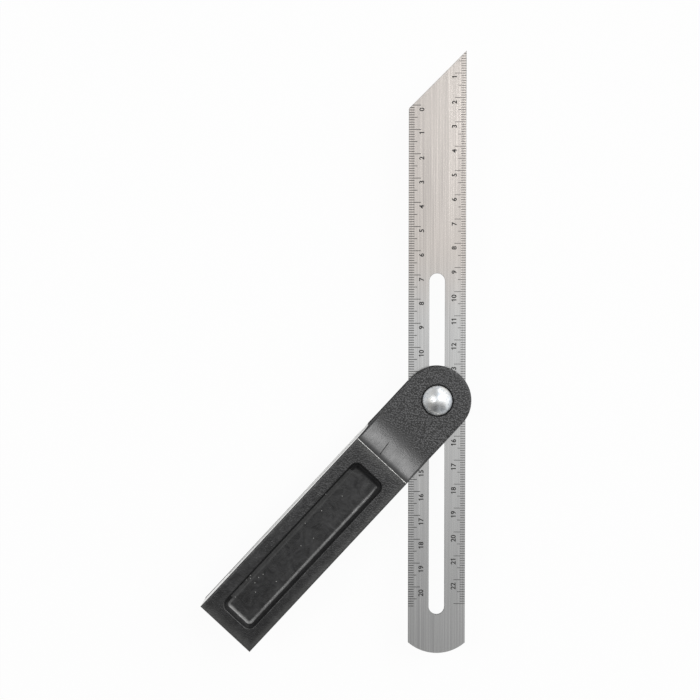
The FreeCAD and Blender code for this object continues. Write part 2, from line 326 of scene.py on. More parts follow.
def round_corners(points: Sequence[tuple[float, float]], radius: float, steps: int = 3) -> Outline:
    """Round the corners of a closed outline.

    Args:
        points: The outline's corners in order.
        radius: The radius that the corners get where their sides have room for it.
        steps: The number of straight steps in each rounded corner.

    Returns:
        The outline with its rounded corners.
    """
    rounded: Outline = []
    for i, point in enumerate(points):
        corner = Vector(point)
        before = Vector(points[i - 1]) - corner
        after = Vector(points[(i + 1) % len(points)]) - corner
        half = before.angle(after) / 2
        reach = min(radius / math.tan(half), before.length * 0.45, after.length * 0.45)
        start = corner + before.normalized() * reach
        end = corner + after.normalized() * reach
        for step in range(steps + 1):
            t = step / steps
            x, y = start.lerp(corner, t).lerp(corner.lerp(end, t), t)
            rounded.append((x, y))
    return rounded


def turned(name: str, profile: Sequence[tuple[float, float]], closed: bool, segments: int = 96,
           cut: Callable[[float, float], float] = lambda angle, height: 0.0) -> bpy.types.Mesh:
    """Turn a profile about Z, as on a lathe.

    Args:
        name: The new mesh's name.
        profile: Radius and height of each point, in millimetres.
        closed: True for a ring, whose last point joins its first; otherwise the ends are on the axis.
        segments: The number of steps round the axis.
        cut: What a thread takes off the radius at an angle and a height.

    Returns:
        The closed mesh, in metres.
    """
    shape = bmesh.new()
    rings = []
    for radius, height in profile:
        if radius < 1e-6:
            rings.append([shape.verts.new((0, 0, height * MM))] * segments)
            continue
        ring = []
        for k in range(segments):
            angle = FULL_TURN * k / segments
            reach = (radius - cut(angle, height)) * MM
            ring.append(shape.verts.new((reach * math.cos(angle), reach * math.sin(angle), height * MM)))
        rings.append(ring)
    skin(shape, rings + rings[:1] if closed else rings)
    return written(shape, name)


def thread_cut(pitch: float, depth: float, low: float, high: float) -> Callable[[float, float], float]:
    """Describe a right-hand thread between two heights.

    Args:
        pitch: The rise of one turn.
        depth: How deep the groove is.
        low: Where the thread starts.
        high: Where it ends.

    Returns:
        What the thread takes off the radius at an angle and a height.
    """
    def cut(angle: float, height: float) -> float:
        """Return the groove's depth, which fades out at both ends of the thread."""
        inside = min((height - low) / pitch, (high - height) / pitch, 1.0)
        phase = (height / pitch - angle / FULL_TURN) % 1.0
        return depth * max(inside, 0.0) * min(1.0, 1.25 * abs(2 * phase - 1))

    return cut


# Finishes


@dataclass(frozen=True)
class Finish(ABC):
    """A surface finish that gives one material."""

    name: str

    def material(self) -> bpy.types.Material:
        """Return the finish's material, built the first time."""
        known = bpy.data.materials.get(self.name)
        if known:
            return known
        made = bpy.data.materials.new(self.name)
        made.use_nodes = True
        made.node_tree.nodes.clear()
        add = partial(add_node, made.node_tree)
        shader = add("ShaderNodeBsdfPrincipled")
        add("ShaderNodeOutputMaterial", shader)
        feed(shader, self.dress(add, add("ShaderNodeTexCoord").outputs["Object"]))
        return made

    @abstractmethod
    def dress(self, add: AddNode, place: bpy.types.NodeSocket) -> dict[str, Value]:
        """Draw the finish.

        Args:
            add: Adds a node to the material.
            place: The point's place in the frame, in metres.

        Returns:
            What goes into the shader's inputs.
        """


def stock_place(add: AddNode, place: bpy.types.NodeSocket) -> tuple[Value, Value, Value]:
    """Return a point's place along the stock, across it, and above the blade's middle plane."""
    along, across = (add(VECTOR_MATH, place, way, operation="DOT_PRODUCT") for way in (ALONG, ACROSS))
    return along, across, add("ShaderNodeSeparateXYZ", place).outputs["Z"]


@dataclass(frozen=True)
class LeatherEnamel(Finish):
    """Black stove enamel on die-cast aluminium, with a leather grain from the die's etched flat faces.

    The ramp and the finger recess come off polished parts of the die, so the grain fades out there. The
    steep part of the recess's wall is dull, and shows as a dark line inside the rim. The grain's crests
    are painted lighter and its valleys darker, as painted highlight and shade, and the foot of the
    recess's wall is lightened as a painted highlight.
    """

    # The valley and crest colours are a painted shade and a painted highlight on the grain's pebbles
    valley: str = "#080809"
    crest: str = "#5e5e5f"
    plain: str = "#171718"
    # The next colour is a painted highlight for the foot of the recess's wall
    worn: str = "#8c8c8b"
    rubbed: str = "#4c4c4b"
    dust: str = "#a9a9a6"
    scratch: str = "#030303"
    grain: float = 0.6
    push_cell: float = 2.2
    push: float = 0.9
    streak_cell: tuple[float, float] = (14.0, 0.7)
    cloud_cell: float = 9.0
    peel_cell: float = 0.5
    smudge_cell: float = 5.0
    dust_cell: float = 1.7
    dust_patch: tuple[float, float, float] = (105.4, -4.9, 7.8)
    dust_thins: tuple[float, float] = (2.5, 6.0)
    depth: float = 0.1
    roughness: float = 0.42
    polished: float = 0.27
    ear_share: tuple[float, float] = (1.0, 0.12)
    body_share: tuple[float, float] = (0.56, 0.2)
    ear_fades: tuple[float, float] = (16.0, 23.2)
    body_fades: tuple[float, float] = (45.0, 110.0)
    face_level: tuple[float, float] = (9.6, 9.9)
    recess_floor: float = 7.8
    left_wall: float = -4.5
    crease_dulls: float = 2.8
    scratched: bool = False

    def dress(self, add: AddNode, place: bpy.types.NodeSocket) -> dict[str, Value]:
        """Mix grained and smooth enamel by the place on the casting."""
        along, across, height = stock_place(add, place)
        level = add(MATH, height, operation="ABSOLUTE")
        on_body = add(MATH, along, (PIVOT_TO_CREASE + 0.1) * MM, operation="GREATER_THAN")
        on_face = add(MAP_RANGE, level, *in_metres(self.face_level))
        outside = add(MATH, on_body, on_face, operation="MULTIPLY")
        sunk = add(MATH, on_body, on_face, operation="SUBTRACT", use_clamp=True)
        grained = self.grained(add, along, outside)
        swell = add(MATH, self.pebbles(add, place), grained, operation="MULTIPLY")
        steep = self.steep(add, along, across, level, sunk)
        by_rim = add(MAP_RANGE, level, *in_metres((8.7, 9.6)), 0.75, 0.1)
        blunt = add(MATH, steep, by_rim, operation="MULTIPLY")

        # Streaks along the stock from rubbing and from the polished die
        stretched = add(COMBINE_XYZ, *(add(MATH, way, per_metre(cell), operation="MULTIPLY")
                                       for way, cell in zip((along, across), self.streak_cell)))
        streaks = add(NOISE, stretched, 1.0, 3.0)
        clouds = add(NOISE, place, per_metre(self.cloud_cell), 3.0)

        # Colours, each laid over the ones before it
        # Painted highlight and shade: the pebbles' crests are lighter and their valleys darker
        grain_lit_and_shaded = add(MIX, swell, linear(self.valley), linear(self.crest), data_type="RGBA")
        tone = add(MAP_RANGE, clouds, 0.3, 0.7, 0.75, 1.25)
        colour = add(VECTOR_MATH, linear(self.plain)[:3], tone, operation="SCALE")
        colour = add(MIX, grained, colour, grain_lit_and_shaded, data_type="RGBA")
        # The last layer is a painted highlight along the foot of the recess's wall
        layers = [(add(MATH, self.rub(add, along, across), outside, operation="MULTIPLY"), self.rubbed),
                  (self.dusty(add, place, sunk), self.dust),
                  (self.wear(add, along, across, level, sunk, steep), self.worn)]
        if self.scratched:
            scratch = self.scratch_line(add, along, across, height)
            layers.append((scratch, self.scratch))
            blunt = add(MATH, blunt, scratch, operation="MAXIMUM")
        for share, layer in layers:
            colour = add(MIX, share, colour, linear(layer), data_type="RGBA")

        fine = add(NOISE, place, per_metre(self.peel_cell), 2.0)
        relief = swell
        for noise, share in ((fine, 0.1), (streaks, 0.05)):
            relief = add(MATH, noise, share, relief, operation="MULTIPLY_ADD")
        bump = add(BUMP, named={"Height": relief, "Distance": self.depth * MM, "Strength": 1.0})
        base_gloss = add(MIX, grained, self.polished, self.roughness, data_type="FLOAT")
        uneven = add(MATH, streaks, 0.5, clouds, operation="MULTIPLY_ADD")
        gloss = add(MAP_RANGE, uneven, 0.55, 0.95, -0.06, 0.06)
        gloss = add(MATH, gloss, base_gloss, operation="ADD")

        # Dust and polish caught below the crease's step leave the end of the ramp dull
        dull_band = in_metres((PIVOT_TO_CREASE - self.crease_dulls, PIVOT_TO_CREASE))
        below_crease = add(MAP_RANGE, along, *dull_band, 0.0, 0.45, interpolation_type="SMOOTHERSTEP")
        on_ramp = add(MATH, 1.0, on_body, operation="SUBTRACT")
        dull = add(MATH, below_crease, on_ramp, gloss, operation="MULTIPLY_ADD", use_clamp=True)

        # Fingers leave a film of grease, which reflects more in some places than in others
        smudges = add(NOISE, place, per_metre(self.smudge_cell), 5.0, 0.6, named={"Distortion": 1.8})
        film = add(MAP_RANGE, smudges, 0.3, 0.7, 0.3, 0.84)
        film = add(MIX, on_body, 0.67, film, data_type="FLOAT")
        for share, sheen in ((grained, 0.5), (blunt, 0.05)):
            film = add(MIX, share, film, sheen, data_type="FLOAT")
        return {"Base Color": colour, "Roughness": dull, "Specular IOR Level": film, "Normal": bump}

    def grained(self, add: AddNode, along: Value, outside: Value) -> Value:
        """Tell where the grain is: the ear, and the body's face outside the recess.

        Args:
            add: Adds a node to the material.
            along: The place along the stock.
            outside: 1 on the body's face outside the recess.

        Returns:
            The grain's strength.
        """
        fades = in_metres(self.ear_fades)
        on_ear = add(MAP_RANGE, along, *fades, *self.ear_share, interpolation_type="SMOOTHSTEP")
        share = add(MAP_RANGE, along, *in_metres(self.body_fades), *self.body_share)
        shallow = add(MATH, outside, share, operation="MULTIPLY")
        return add(MATH, on_ear, shallow, operation="MAXIMUM")

    def pebbles(self, add: AddNode, place: Value) -> Value:
        """Raise leather pebbles, pushed about so that they don't look like a grid.

        Args:
            add: Adds a node to the material.
            place: The point's place in the frame.

        Returns:
            The pebbles' height, from 0 to 1.
        """
        push = add(NOISE, place, per_metre(self.push_cell), 1.0)
        reach = (self.push * MM,) * 3
        pushed = add(VECTOR_MATH, push.outputs["Color"], reach, place, operation="MULTIPLY_ADD")
        pebbles = add(VORONOI, pushed, per_metre(self.grain), named={"Smoothness": 0.35}, feature="SMOOTH_F1")
        return add(MAP_RANGE, pebbles, 0.15, 0.62, 1.0, 0.0)

    def dusty(self, add: AddNode, place: Value, sunk: Value) -> Value:
        """Scatter dust in the recess, most of it in a patch near the foot.

        Args:
            add: Adds a node to the material.
            place: The point's place in the frame.
            sunk: 1 in the recess.

        Returns:
            1 on a speck of dust.
        """
        cells = add(VORONOI, place, per_metre(self.dust_cell), voronoi_dimensions="2D")
        speck = add(MATH, cells, 0.1, operation="LESS_THAN")
        along, across, height = self.dust_patch
        patch = along * ALONG + across * ACROSS + Vector((0.0, 0.0, height))
        from_patch = add(VECTOR_MATH, place, patch * MM, operation="DISTANCE")
        odds = add(MAP_RANGE, from_patch, *in_metres(self.dust_thins), 0.55, 0.98)
        chance = add("ShaderNodeSeparateColor", cells.outputs["Color"])
        rare = add(MATH, chance, odds, operation="GREATER_THAN")
        dusty = add(MATH, speck, rare, operation="MULTIPLY")
        return add(MATH, dusty, sunk, operation="MULTIPLY")

    def steep(self, add: AddNode, along: Value, across: Value, level: Value, sunk: Value) -> Value:
        """Find the steep part of the recess's wall; the wall by the crease is dull from the floor up.

        Args:
            add: Adds a node to the material.
            along: The place along the stock.
            across: The place across the stock.
            level: The distance from the blade's middle plane.
            sunk: 1 in the recess.

        Returns:
            1 on the steep part.
        """
        levels = (self.recess_floor + 0.01, self.recess_floor + 0.28)
        wall_foot = add(MAP_RANGE, along, *in_metres((44.0, 48.0) + levels))
        between_ends = add(MATH, along, 81.0 * MM, 36.0 * MM, operation="COMPARE")
        on_left = add(MATH, across, self.left_wall * MM, operation="LESS_THAN")
        left_wall = add(MATH, between_ends, on_left, operation="MULTIPLY")
        wall_foot = add(MATH, left_wall, 0.85 * MM, wall_foot, operation="MULTIPLY_ADD")
        climb = add(MATH, level, wall_foot, operation="SUBTRACT")
        steep = add(MAP_RANGE, climb, 0.0, 0.15 * MM)
        return add(MATH, steep, sunk, operation="MULTIPLY")

    def wear(self, add: AddNode, along: Value, across: Value, level: Value, sunk: Value,
             steep: Value) -> Value:
        """Paint a highlight on the foot of the recess's wall, most of all at the end next to the stock's
        foot.

        Args:
            add: Adds a node to the material.
            along: The place along the stock.
            across: The place across the stock.
            level: The distance from the blade's middle plane.
            sunk: 1 in the recess.
            steep: 1 on the steep part of the wall.

        Returns:
            How strong the painted highlight is, from 0 to 1.
        """
        # Painted highlight: a lighter band where the wall rises from the floor, below its steep part
        rise = add(MATH, level, self.recess_floor * MM, operation="SUBTRACT")
        worn = add(MAP_RANGE, rise, 0.0, 0.06 * MM)
        by_foot = add(MAP_RANGE, along, *in_metres((116.8, 118.6)))
        most = add(MATH, by_foot, 0.36, 0.24, operation="MULTIPLY_ADD")
        inside = add(MAP_RANGE, across, *in_metres((-6.2, -4.0)), 0.45)
        for share in (most, inside, sunk):
            worn = add(MATH, worn, share, operation="MULTIPLY")
        return add(MATH, worn, steep, operation="SUBTRACT", use_clamp=True)

    @staticmethod
    def rub(add: AddNode, along: Value, across: Value) -> Value:
        """Rub the body's face lighter towards its edges, where hands and the work touch it.

        Args:
            add: Adds a node to the material.
            along: The place along the stock.
            across: The place across the stock.

        Returns:
            How far the enamel is rubbed, from 0 to 1.
        """
        most = 0.0
        for value, start, end, share in ((across, 10.2, 13.4, 0.6), (across, -12.0, -14.0, 0.25),
                                         (along, 123.8, 129.0, 0.7), (along, 37.5, 33.4, 0.6)):
            edge = add(MAP_RANGE, value, start * MM, end * MM, 0.0, share, interpolation_type="SMOOTHSTEP")
            most = add(MATH, most, edge, operation="MAXIMUM")
        return most

    @staticmethod
    def scratch_line(add: AddNode, along: Value, across: Value, height: Value) -> Value:
        """Mark the fine dark scratch on the front ramp, from the crease towards the ear.

        Args:
            add: Adds a node to the material.
            along: The place along the stock.
            across: The place across the stock.
            height: The height above the blade's middle plane.

        Returns:
            1 in the scratch.
        """
        line = add(MATH, along, 0.114, -6.02 * MM, operation="MULTIPLY_ADD")
        near = add(MATH, across, line, 0.17 * MM, operation="COMPARE")
        within = add(MATH, along, 29.2 * MM, 2.9 * MM, operation="COMPARE")
        front = add(MATH, height, 2.0 * MM, operation="GREATER_THAN")
        mark = add(MATH, near, within, operation="MULTIPLY")
        return add(MATH, mark, front, operation="MULTIPLY")


@dataclass(frozen=True)
class MachinedAluminium(Finish):
    """Bare aluminium off the side of a milling cutter: bright, with fine lines along the cut.

    A dark line in the enamel's colour is painted along the body's back edge as a painted shadow, and it
    widens at the foot.
    """

    low: str = "#d8d8d6"
    high: str = "#ececea"
    # The colour of the painted shadow along the back edge
    paint: str = "#161616"
    cut_length: float = 12.0
    line: float = 0.25
    ragged_cell: float = 3.0
    ragged: float = 0.8
    roughness: float = 0.3
    widens: tuple[float, float] = (40.0, 125.0)
    clean_to: tuple[float, float] = (-8.4, -5.6)

    def dress(self, add: AddNode, place: bpy.types.NodeSocket) -> dict[str, Value]:
        """Draw the cutter's lines along the stock."""
        along, across, height = stock_place(add, place)
        cells = ((along, self.cut_length), (across, self.line), (height, self.line))
        stretched = add(COMBINE_XYZ, *(add(MATH, way, per_metre(cell), operation="MULTIPLY")
                                       for way, cell in cells))
        lines = add(NOISE, stretched, 1.0, 2.0)
        colour = add(MIX, lines, linear(self.low), linear(self.high), data_type="RGBA")
        gloss = add(MAP_RANGE, lines, 0.3, 0.7, self.roughness - 0.06, self.roughness + 0.08)
        bump = add(BUMP, named={"Height": lines, "Distance": 0.006 * MM})
        # Painted shadow: below a ragged line near the back edge the side takes the enamel's dark colour and
        # loses its reflection, more of it towards the foot
        noise = add(NOISE, place, per_metre(self.ragged_cell), 3.0)
        shadow_line_top = add(MAP_RANGE, along, *in_metres(self.widens + self.clean_to))
        shadow_line_top = add(MATH, noise, self.ragged * MM, shadow_line_top, operation="MULTIPLY_ADD")
        bare = add(MATH, height, shadow_line_top, operation="GREATER_THAN")
        painted = add(MIX, bare, linear(self.paint), colour, data_type="RGBA")
        sheen = add(MATH, bare, 0.5, operation="MULTIPLY")
        return {"Base Color": painted, "Roughness": gloss, "Normal": bump, "Metallic": bare,
                "Specular IOR Level": sheen}


@dataclass(frozen=True)
class RubbedEnamel(Finish):
    """Enamel rubbed thin on the crease's edge, where the aluminium starts to grin through; the lighter enamel
    and the bare metal are partly real wear and partly a painted highlight along the crease.
    """

    enamel: str = "#3c3c3c"
    metal: str = "#d2d2cf"
    cell: float = 2.5
    roughness: float = 0.4

    def dress(self, add: AddNode, place: bpy.types.NodeSocket) -> dict[str, Value]:
        """Let the metal through in uneven lengths."""
        # Partly wear, partly painted highlight: lighter enamel and bare metal along the crease
        wear = add(NOISE, place, per_metre(self.cell), 3.0)
        bare = add(MAP_RANGE, wear, 0.35, 0.6, 0.45, 0.95)
        colour = add(MIX, bare, linear(self.enamel), linear(self.metal), data_type="RGBA")
        return {"Base Color": colour, "Metallic": bare, "Roughness": self.roughness}


@dataclass(frozen=True)
class BrushedStainless(Finish):
    """Stainless strip brushed lengthwise: satin, with fine streaks and broad faint bands along the blade.

    The steel is a little warmer towards the tip.
    """

    low: str = "#b2b2b2"
    high: str = "#cdcdcc"
    cool: str = "#bfc0bf"
    warm: str = "#fff7f1"
    streak: tuple[float, float, float] = (0.42, 60.0, 0.5)
    band: tuple[float, float, float] = (2.2, 90.0, 4.0)
    tint: tuple[float, float, float] = (5.0, 140.0, 9.0)
    warms: tuple[float, float] = (25.0, 65.0)
    roughness: float = 0.18

    def dress(self, add: AddNode, place: bpy.types.NodeSocket) -> dict[str, Value]:
        """Stretch noises along the blade: the brush lines, the bands and a cooler tint."""
        noises = []
        for cell, detail in ((self.streak, 4.0), (self.band, 2.0), (self.tint, 1.0)):
            drawn = add(VECTOR_MATH, place, [per_metre(size) for size in cell], operation="MULTIPLY")
            noises.append(add(NOISE, drawn, 1.0, detail))
        fine, band, tint = noises
        both = add(MATH, band, 0.3, fine, operation="MULTIPLY_ADD")
        tone = add(MAP_RANGE, both, 0.35, 0.97)
        steel = add(MIX, tone, linear(self.low), linear(self.high), data_type="RGBA")
        cooled = add(MAP_RANGE, tint, 0.4, 0.65, 0.0, 0.25)
        steel = add(MIX, cooled, steel, linear(self.cool), data_type="RGBA")
        to_tip = add("ShaderNodeSeparateXYZ", place).outputs["Y"]
        warmth = add(MAP_RANGE, to_tip, *in_metres(self.warms), interpolation_type="SMOOTHSTEP")
        steel = add(MIX, warmth, steel, linear(self.warm), data_type="RGBA", blend_type="MULTIPLY")
        gloss = add(MAP_RANGE, fine, 0.3, 0.7, self.roughness - 0.03, self.roughness + 0.05)
        bump = add(BUMP, named={"Height": fine, "Distance": 0.004 * MM})
        return {"Base Color": steel, "Roughness": gloss, "Normal": bump, "Metallic": 1.0}


@dataclass(frozen=True)
class TwoTone(Finish):
    """A plain finish that wavers between two colours, in cells of one size."""

    low: str
    high: str
    cell: tuple[float, float, float]
    detail: float
    roughness: float
    metallic: float = 0.0
    sheen: float = 0.5
    depth: float = 0.0

    def dress(self, add: AddNode, place: bpy.types.NodeSocket) -> dict[str, Value]:
        """Draw the cells in colour, and in relief where the finish has a depth."""
        drawn = add(VECTOR_MATH, place, [per_metre(size) for size in self.cell], operation="MULTIPLY")
        noise = add(NOISE, drawn, 1.0, self.detail)
        colour = add(MIX, noise, linear(self.low), linear(self.high), data_type="RGBA")
        looks = {"Base Color": colour, "Roughness": self.roughness, "Metallic": self.metallic,
                 "Specular IOR Level": self.sheen}
        if self.depth:
            looks["Normal"] = add(BUMP, named={"Height": noise, "Distance": self.depth * MM})
        return looks


@dataclass(frozen=True)
class ZincPlate(Finish):
    """Bright zinc plate on pressed steel: bluish, cloudy, and dimpled where the die pressed it."""

    cool: str = "#c5cacf"
    warm: str = "#d3d2ce"
    dull: str = "#a2a6ac"
    cloud_cell: float = 4.5
    spot_cell: float = 0.9
    dimple: float = 1.3
    depth: float = 0.02
    roughness: float = 0.3

    def dress(self, add: AddNode, place: bpy.types.NodeSocket) -> dict[str, Value]:
        """Cloud the colour and dimple the surface."""
        clouds = add(NOISE, place, per_metre(self.cloud_cell), 3.0)
        hue = add(MAP_RANGE, clouds, 0.35, 0.65)
        base = add(MIX, hue, linear(self.cool), linear(self.warm), data_type="RGBA")
        spots = add(NOISE, place, per_metre(self.spot_cell), 4.0)
        spotted = add(MAP_RANGE, spots, 0.5, 0.7, 0.0, 0.7)
        colour = add(MIX, spotted, base, linear(self.dull), data_type="RGBA")
        dimples = add(VORONOI, place, per_metre(self.dimple), named={"Smoothness": 0.6}, feature="SMOOTH_F1")
        relief = add(MATH, spots, 0.5, dimples, operation="MULTIPLY_ADD")
        bump = add(BUMP, named={"Height": relief, "Distance": self.depth * MM})
        gloss = add(MAP_RANGE, spots, 0.35, 0.7, self.roughness - 0.04, self.roughness + 0.14)
        return {"Base Color": colour, "Roughness": gloss, "Normal": bump, "Metallic": 1.0}


FRONT_ENAMEL = LeatherEnamel("black leather-grain enamel, front", scratched=True)
REAR_ENAMEL = LeatherEnamel("black leather-grain enamel, rear")
# The crease's finish is partly wear and partly a painted highlight
RUBBED_AND_HIGHLIGHTED_EDGE = RubbedEnamel("enamel rubbed through to aluminium")
MILLED_SIDE = MachinedAluminium("milled aluminium")
BLADE_STEEL = BrushedStainless("brushed stainless steel")
BRIGHT_ZINC = ZincPlate("bright zinc plate")
# The punch leaves fine lines across the blade's thickness, and the grinding wheel rings round the pins
BLADE_EDGE = TwoTone("sheared steel edge", "#6c6c6d", "#8e8e8e", (0.2, 0.2, 3.0), 1.0, 0.5, metallic=1.0)
PIN_STEEL = TwoTone("ground pin steel", "#86868a", "#b4b4b6", (6.0, 6.0, 0.15), 2.0, 0.25, metallic=1.0)
DULL_ENAMEL = TwoTone("dull enamel on rough casting", "#131313", "#222222", (1.2,) * 3, 3.0, 0.95, sheen=0.3,
                      depth=0.05)
ETCHED_MARK = TwoTone("blackened etching", "#100f0f", "#2c2b2a", (0.8,) * 3, 2.0, 0.7)
NYLON = TwoTone("natural nylon", "#c9c4b4", "#e2ded0", (2.0,) * 3, 3.0, 0.5, depth=0.02)


def place_piece(piece: bpy.types.Object, finishes: Iterable[Finish], body: Body, slot: Slot,
                *nodes: str) -> None:
    """Dress a finished piece and hand it to the frame.

    Args:
        piece: The finished piece.
        finishes: The finishes that its mesh doesn't have yet.
        body: The body that it moves with.
        slot: The record's slot that it stands for, which is only logged.
        nodes: The CAD nodes that it stands for.
    """
    for finish in finishes:
        piece.data.materials.append(finish.material())
    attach(piece, body.value)
    if nodes:
        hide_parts(*nodes)
    LOG.info("%s: %d faces on %s, %s", piece.name, len(piece.data.polygons), body.value, slot.value)


# The stock


@dataclass
class Casting:
    """One painted half of the fork, with its machined sides."""

    node: str
    enamel: Finish
    pivot_to_milling: float = 27.0
    body_face: float = 10.0
    ear_face: float = 6.5
    spot_face_radius: float = 6.7
    crease_round: float = 0.2

    def build(self) -> None:
        """Dress a copy of the CAD half face by face, with flat faces kept flat next to their rounds."""
        mesh = merged_copy(self.node)
        smooth_shade(mesh)
        for finish in (self.enamel, MILLED_SIDE, RUBBED_AND_HIGHLIGHTED_EDGE, DULL_ENAMEL):
            mesh.materials.append(finish.material())
        for polygon in mesh.polygons:
            polygon.material_index = self.finish_index(polygon)
        piece = new_piece(f"{self.node}_casting", mesh)
        piece.modifiers.new("flat faces lead", "WEIGHTED_NORMAL").keep_sharp = True
        settle(piece)
        place_piece(piece, (), Body.STOCK, Slot.PAINTED_CASTING, self.node)

    def finish_index(self, polygon: bpy.types.MeshPolygon) -> int:
        """Tell which finish a face has: 0 enamel, 1 milled, 2 rubbed with a painted highlight, 3 dull.

        Args:
            polygon: A face of the casting.

        Returns:
            The number of the finish's material slot.
        """
        along = polygon.center.dot(ALONG) / MM
        height = abs(polygon.center.z) / MM
        slope = abs(polygon.normal.z)
        if abs(polygon.normal.dot(ACROSS)) > 0.99 and along > self.pivot_to_milling:
            return 1
        on_crease = abs(along - PIVOT_TO_CREASE) < 1.1 * self.crease_round
        if on_crease and height > self.body_face - 1.1 * self.crease_round and 0.05 < slope < 0.999:
            return 2
        from_pivot = math.hypot(polygon.center.x, polygon.center.y) / MM
        below_ear_face = self.ear_face - 0.5 < height < self.ear_face - 0.01
        in_spot_face = from_pivot < self.spot_face_radius + 0.01 and below_ear_face
        past_spot_face = from_pivot > self.spot_face_radius + 1.0
        on_ear_rim = slope < 0.3 and along < self.pivot_to_milling and past_spot_face
        return 3 if in_spot_face or on_ear_rim else 0


@dataclass
class FootFittings:
    """What holds the halves together at the foot: spacer, dowels and countersunk screws."""

    head_diameter: float = 7.5
    shank_diameter: float = 4.0
    thread_pitch: float = 0.7
    thread_depth: float = 0.4
    recess_length: float = 3.8
    recess_width: float = 0.9
    recess_depth: float = 1.6
    break_edge: float = 0.15
    least_turn: float = 0.2
    most_turn: float = 1.4
    seed: int = 7
    screw_nodes: tuple[str, ...] = ("foot_screw_1", "foot_screw_2", "foot_screw_3")
    dowel_nodes: tuple[str, ...] = ("foot_dowel_1", "foot_dowel_2")

    def build(self) -> None:
        """Build the spacer and the screws, and dress the dowels."""
        self.build_spacer()
        self.build_screws()
        for node in self.dowel_nodes:
            dowel = frame["nodes"][node]
            dowel.data.materials.clear()
            dowel.data.materials.append(PIN_STEEL.material())
            LOG.info("%s: dressed", node)

    def build_spacer(self) -> None:
        """Break the spacer's edges, so that its joints with the halves show as fine lines."""
        piece = new_piece("foot_spacer_plate", merged_copy("foot_spacer"))
        bevel = piece.modifiers.new("broken edges", "BEVEL")
        bevel.width = self.break_edge * MM
        bevel.segments = 2
        bevel.angle_limit = math.radians(50)
        settle(piece)
        smooth_shade(piece.data)
        place_piece(piece, (MILLED_SIDE,), Body.STOCK, Slot.BARE_ALUMINIUM, "foot_spacer")

    def screw_mesh(self) -> bpy.types.Mesh:
        """Build one screw about Z, with its head at the frame's height and a tapered cross recess."""
        low, high = (corner.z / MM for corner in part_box(self.screw_nodes[0]))
        head, shank = self.head_diameter / 2, self.shank_diameter / 2
        neck = low + head - shank
        steps = round((high - 0.4 - neck) / self.thread_pitch * 8)
        profile: Outline = [(0, low), (head - 0.12, low), (head, low + 0.08), (shank + 0.02, neck)]
        profile += [(shank, neck + (high - 0.4 - neck) * k / steps) for k in range(1, steps + 1)]
        profile += [(shank - 0.4, high), (0, high)]
        cut = thread_cut(self.thread_pitch, self.thread_depth, neck + 0.5, high + 1.0)
        screw = new_piece("foot screw", turned("foot screw", profile, False, 48, cut))
        cutters = [self.recess_cutter(low, turn) for turn in (0.0, math.pi / 2)]
        for cutter in cutters:
            boolean = screw.modifiers.new("cross recess", "BOOLEAN")
            boolean.operation = "DIFFERENCE"
            boolean.object = cutter
            boolean.solver = "EXACT"
        settle(screw)
        mesh = screw.data
        smooth_shade(mesh)
        for helper in (screw, *cutters):
            bpy.data.objects.remove(helper)
        return mesh

    def recess_cutter(self, low: float, turn: float) -> bpy.types.Object:
        """Make one tapered bar of the cross recess, turned about the screw's axis.

        Args:
            low: The height of the head's flat face.
            turn: The bar's angle in radians.

        Returns:
            The bar, hidden from renders.
        """
        shape = bmesh.new()
        for height, share in ((low - 0.5, 1.1), (low + self.recess_depth, 0.62)):
            x, y = self.recess_length / 2 * share, self.recess_width / 2 * share
            for corner in ((-x, -y), (x, -y), (x, y), (-x, y)):
                shape.verts.new((corner[0] * MM, corner[1] * MM, height * MM))
        shape.verts.ensure_lookup_table()
        for face in ((0, 1, 2, 3), (4, 5, 6, 7), (0, 1, 5, 4), (1, 2, 6, 5), (2, 3, 7, 6), (3, 0, 4, 7)):
            shape.faces.new([shape.verts[i] for i in face])
        bmesh.ops.transform(shape, matrix=Matrix.Rotation(turn, 4, "Z"), verts=shape.verts)
        cutter = new_piece("recess cutter", written(shape, "recess cutter"))
        cutter.hide_render = True
        return cutter

    def build_screws(self) -> None:
        """Set a screw at each place by Geometry Nodes, each stopped at its own angle."""
        spots = bpy.data.meshes.new("foot screw places")
        centres = [sum(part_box(node), Vector()) / 2 for node in self.screw_nodes]
        spots.from_pydata([(centre.x, centre.y, 0) for centre in centres], [], [])
        prototype = new_piece("foot screw prototype", self.screw_mesh())
        tree = new_geometry_tree("Screws at their places", {
            "Places": "Geometry", "Screw": "Object", "Seed": "Int", "Finish": "Material"}, "Screws")
        add = partial(add_node, tree)
        given = add("NodeGroupInput").outputs
        screw = add("GeometryNodeObjectInfo", named={"Object": given["Screw"]}, transform_space="ORIGINAL")
        turn = add("FunctionNodeRandomValue", data_type="FLOAT_VECTOR", named={
            0: (0.0, 0.0, self.least_turn), 1: (0.0, 0.0, self.most_turn), "Seed": given["Seed"]})
        points = add("GeometryNodeMeshToPoints", named={"Mesh": given["Places"]})
        end_tree(add, points, screw.outputs["Geometry"], given["Finish"], Rotation=turn)
        piece = grown("foot_screws", tree, spots, {
            "Screw": prototype, "Seed": self.seed, "Finish": BRIGHT_ZINC.material()})
        bpy.data.objects.remove(prototype)
        smooth_shade(piece.data)
        place_piece(piece, (), Body.STOCK, Slot.ZINC_PLATE, *self.screw_nodes)


def grown(name: str, tree: bpy.types.NodeTree, base: bpy.types.Mesh,
          sizes: dict[str, object]) -> bpy.types.Object:
    """Run a Geometry Nodes tree once and keep its result as a plain mesh.

    Args:
        name: The piece's name.
        tree: The tree to run.
        base: The mesh that the modifier starts from.
        sizes: The tree's inputs by name.

    Returns:
        The finished piece, with no modifier left on it.
    """
    piece = new_piece(name, base)
    modifier = piece.modifiers.new(name, "NODES")
    modifier.node_group = tree
    for socket in tree.interface.items_tree:
        if socket.in_out == "INPUT" and socket.name in sizes:
            modifier[socket.identifier] = sizes[socket.name]
    return settle(piece)


# The blade and its scales


